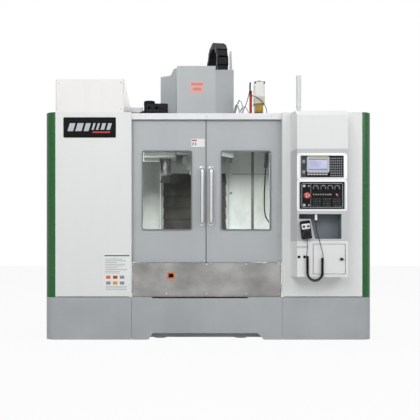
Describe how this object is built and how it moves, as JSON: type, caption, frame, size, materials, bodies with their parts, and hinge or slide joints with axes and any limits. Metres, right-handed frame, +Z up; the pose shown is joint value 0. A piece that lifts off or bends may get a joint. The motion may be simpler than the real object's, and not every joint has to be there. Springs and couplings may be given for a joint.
{
  "type": "cnc machining center",
  "caption": "Enclosed vertical machining centre with sliding glazed doors, rounded green corners, side console with hand pendant, overhead spindle head cover and cable carrier.",
  "frame": {"origin": "on the floor under the middle of the overall box", "axes": "+X to the operator's right, -Y the front with the doors and console, +Z up"},
  "size_m": [3.1, 2.6, 3.213],
  "materials": {
    "cast": "painted casting",
    "ground_iron": "ground",
    "dark_steel": "machined",
    "grey_sheet": "fine textured powder coat",
    "door_grey": "powder coat",
    "cover_grey": "powder coat",
    "white_sheet": "powder coat",
    "rail_white": "powder coat",
    "console_grey": "powder coat",
    "green_trim": "gloss enamel",
    "polished_steel": "polished",
    "guard_sheet": "painted",
    "tank_plastic": "translucent",
    "motor_black": "satin",
    "display_case": "moulded",
    "panel_black": "printed",
    "pendant_black": "moulded",
    "cord_rubber": "satin",
    "socket_metal": "machined",
    "lamp_plastic": "moulded",
    "window_glass": "laminated",
    "handle_steel": "satin",
    "pot_black": "moulded",
    "chain_plastic": "moulded",
    "bellows_rubber": "satin",
    "stop_red": "gloss",
    "knob_black": "moulded"
  },
  "bodies": {
    "machine": {"bed_casting": "cast", "column_casting": "cast", "levelling_feet": "dark_steel", "plinth_left": "grey_sheet", "plinth_centre": "grey_sheet", "plinth_right": "grey_sheet", "left_front_panel": "white_sheet", "magazine_guard": "white_sheet", "console_housing": "white_sheet", "console_bezel": "console_grey", "corner_trim_left": "green_trim", "corner_trim_right": "green_trim", "top_rail": "rail_white", "steel_apron": "polished_steel", "side_panel_left": "grey_sheet", "side_panel_right": "grey_sheet", "splash_guard_left": "guard_sheet", "splash_guard_right": "guard_sheet", "electrical_cabinet": "grey_sheet", "lubricator": "tank_plastic", "servo_motors": "motor_black", "display_unit": "display_case", "machine_panel": "panel_black", "pendant_case": "pendant_black", "cord_coil": "cord_rubber", "cord_lead_upper": "cord_rubber", "cord_lead_lower": "cord_rubber", "cord_socket": "socket_metal", "stack_light": "lamp_plastic", "changer_cam_box": "cast", "changer_motor": "motor_black", "energy_chain": "chain_plastic", "y_way_cover": "bellows_rubber", "z_way_cover": "bellows_rubber"},
    "left_door": {"door_left": "door_grey", "window_left": "window_glass", "handle_left": "handle_steel"},
    "right_door": {"door_right": "door_grey", "window_right": "window_glass", "handle_right": "handle_steel"},
    "cross_slide": {"saddle": "cast", "x_motor": "motor_black"},
    "work_table": {"table": "ground_iron", "table_end_covers": "polished_steel"},
    "spindle_head": {"head_casting": "cast", "head_cover": "cover_grey", "spindle_motor": "motor_black"},
    "spindle_shaft": {"spindle": "dark_steel"},
    "x_ball_screw": {"x_screw": "dark_steel"},
    "y_ball_screw": {"y_screw": "dark_steel"},
    "z_ball_screw": {"z_screw": "dark_steel"},
    "changer_turret": {"changer_hub": "dark_steel"},
    "gripper_arm": {"changer_arm": "dark_steel"},
    "tool_disc": {"magazine_disc": "pot_black"},
    "stop_button": {"emergency_stop": "stop_red"},
    "spindle_knob": {"spindle_override_knob": "knob_black"},
    "feed_knob": {"feed_override_knob": "knob_black"},
    "pulse_wheel": {"pendant_wheel": "pendant_black"},
    "box_door": {"storage_door": "white_sheet"},
    "rear_door": {"cabinet_door": "grey_sheet"}
  },
  "joints": [
    {"name": "door_left_slide", "type": "slide", "parent": "machine", "child": "left_door", "axis": [-1, 0, 0], "range_m": [0, 0.612]},
    {"name": "door_right_slide", "type": "slide", "parent": "machine", "child": "right_door", "axis": [1, 0, 0], "range_m": [0, 0.612]},
    {"name": "saddle_slide", "type": "slide", "parent": "machine", "child": "cross_slide", "axis": [0, 1, 0], "range_m": [-0.3, 0.3], "deforming": ["y_way_cover"]},
    {"name": "table_slide", "type": "slide", "parent": "cross_slide", "child": "work_table", "axis": [1, 0, 0], "range_m": [-0.55, 0.55]},
    {"name": "head_slide", "type": "slide", "parent": "machine", "child": "spindle_head", "axis": [0, 0, 1], "range_m": [-0.6, 0], "deforming": ["z_way_cover", "energy_chain"]},
    {"name": "spindle_spin", "type": "hinge", "parent": "spindle_head", "child": "spindle_shaft", "pos_m": [-0.07, -0.22, 1.9], "axis": [0, 0, 1], "continuous": true},
    {"name": "x_screw_spin", "type": "hinge", "parent": "cross_slide", "child": "x_ball_screw", "pos_m": [-0.07, -0.22, 0.655], "axis": [1, 0, 0], "continuous": true},
    {"name": "y_screw_spin", "type": "hinge", "parent": "machine", "child": "y_ball_screw", "pos_m": [-0.07, -0.2, 0.365], "axis": [0, 1, 0], "continuous": true},
    {"name": "z_screw_spin", "type": "hinge", "parent": "machine", "child": "z_ball_screw", "pos_m": [-0.07, 0.4, 1.8], "axis": [0, 0, 1], "continuous": true},
    {"name": "changer_swing", "type": "hinge", "parent": "machine", "child": "changer_turret", "pos_m": [-0.41, -0.22, 1.75], "axis": [0, 0, 1], "range_deg": [0, 270]},
    {"name": "changer_drop", "type": "slide", "parent": "changer_turret", "child": "gripper_arm", "axis": [0, 0, 1], "range_m": [-0.115, 0]},
    {"name": "magazine_turn", "type": "hinge", "parent": "machine", "child": "tool_disc", "pos_m": [-1, -0.22, 2.04], "axis": [1, 0, 0], "continuous": true},
    {"name": "emergency_stop_press", "type": "slide", "parent": "machine", "child": "stop_button", "axis": [0, 1, 0], "range_m": [0, 0.006]},
    {"name": "spindle_override_turn", "type": "hinge", "parent": "machine", "child": "spindle_knob", "pos_m": [0.969, -1.235, 1.416], "axis": [0, -1, 0], "range_deg": [-105, 105]},
    {"name": "feed_override_turn", "type": "hinge", "parent": "machine", "child": "feed_knob", "pos_m": [1.037, -1.235, 1.416], "axis": [0, -1, 0], "range_deg": [-135, 135]},
    {"name": "pulse_wheel_turn", "type": "hinge", "parent": "machine", "child": "pulse_wheel", "pos_m": [0.87763, -1.27, 0.99228], "axis": [0, -1, 0], "continuous": true},
    {"name": "storage_door_swing", "type": "hinge", "parent": "machine", "child": "box_door", "pos_m": [0.953, -1.223, 0.75], "axis": [0, 0, -1], "range_deg": [0, 110], "deforming": ["cord_coil", "cord_lead_lower"]},
    {"name": "cabinet_door_swing", "type": "hinge", "parent": "machine", "child": "rear_door", "pos_m": [-0.465, 1.278, 1.265], "axis": [0, 0, 1], "range_deg": [0, 115]}
  ],
  "couplings": [
    {"joint": "x_screw_spin", "follows": "table_slide", "rad_per_m": 523.6},
    {"joint": "y_screw_spin", "follows": "saddle_slide", "rad_per_m": 523.6},
    {"joint": "z_screw_spin", "follows": "head_slide", "rad_per_m": 523.6}
  ]
}
